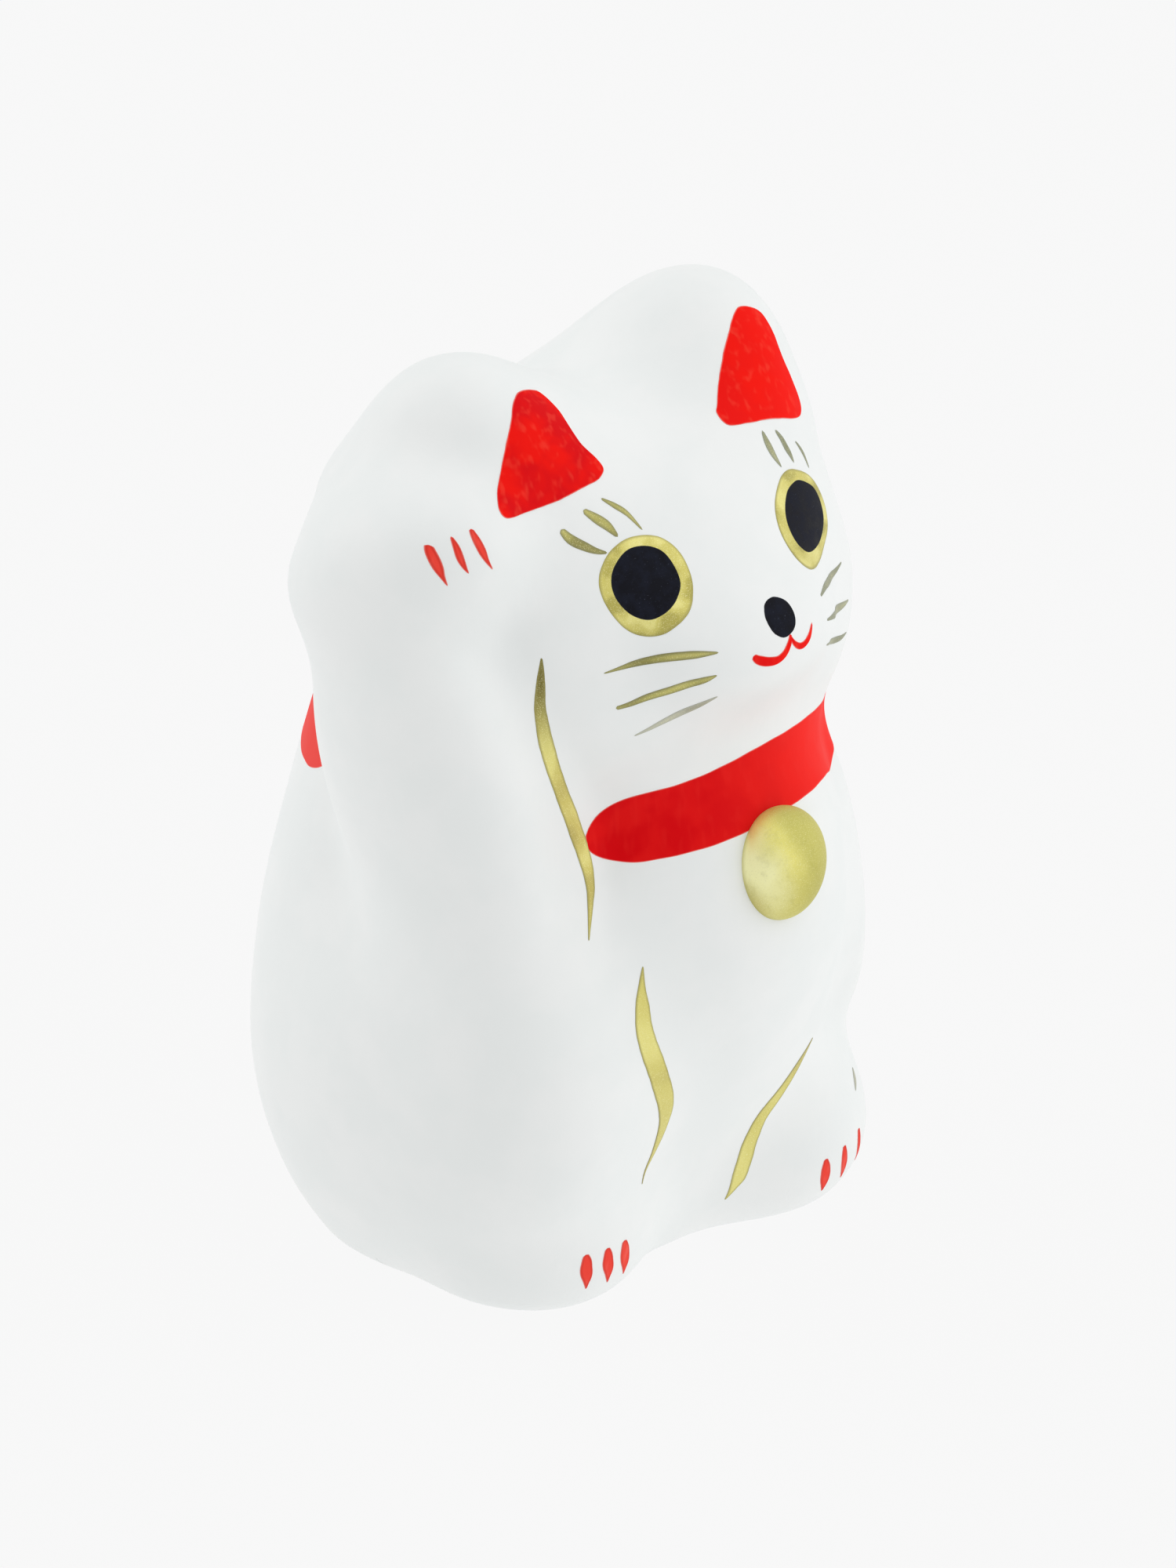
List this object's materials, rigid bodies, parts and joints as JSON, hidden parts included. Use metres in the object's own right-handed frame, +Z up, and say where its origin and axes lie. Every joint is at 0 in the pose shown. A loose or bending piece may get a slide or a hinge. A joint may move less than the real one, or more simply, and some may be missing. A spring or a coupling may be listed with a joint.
{
  "type": "beckoning cat figurine",
  "caption": "Hollow moulded-paper beckoning cat, right paw raised, with red ears and collar, gold bell and gold brush lines.",
  "frame": {"origin": "middle of the flat resting face under the cat", "axes": "+Z up; the cat faces -Y; its raised right paw is on the -X side"},
  "size_m": [0.0701, 0.0667, 0.1013],
  "materials": {
    "chalk_white": "matte",
    "bare_paper": "matte",
    "board": "matte",
    "clay": "matte",
    "red_paint": "satin",
    "gold_paint": "satin",
    "black_paint": "matte"
  },
  "bodies": {
    "root": {"front_shell": "chalk_white", "back_shell": "chalk_white", "base_board": "board", "clay_weight": "clay", "seam_strip_right": "bare_paper", "seam_strip_left": "bare_paper", "seam_strip_crown": "bare_paper", "ear_paint_right": "red_paint", "ear_paint_left": "red_paint", "eye_gold_right": "gold_paint", "eye_gold_left": "gold_paint", "pupil_right": "black_paint", "pupil_left": "black_paint", "brows_right": "gold_paint", "brows_left": "gold_paint", "nose_paint": "black_paint", "mouth_paint": "red_paint", "whiskers_right": "gold_paint", "whiskers_left": "gold_paint", "collar_paint": "red_paint", "bell_paint": "gold_paint", "arm_line_right": "gold_paint", "leg_line_right": "gold_paint", "leg_line_left": "gold_paint", "flank_line_left": "gold_paint", "paw_claws_right": "red_paint", "foot_claws_right": "red_paint", "foot_claws_left": "red_paint"}
  },
  "joints": []
}
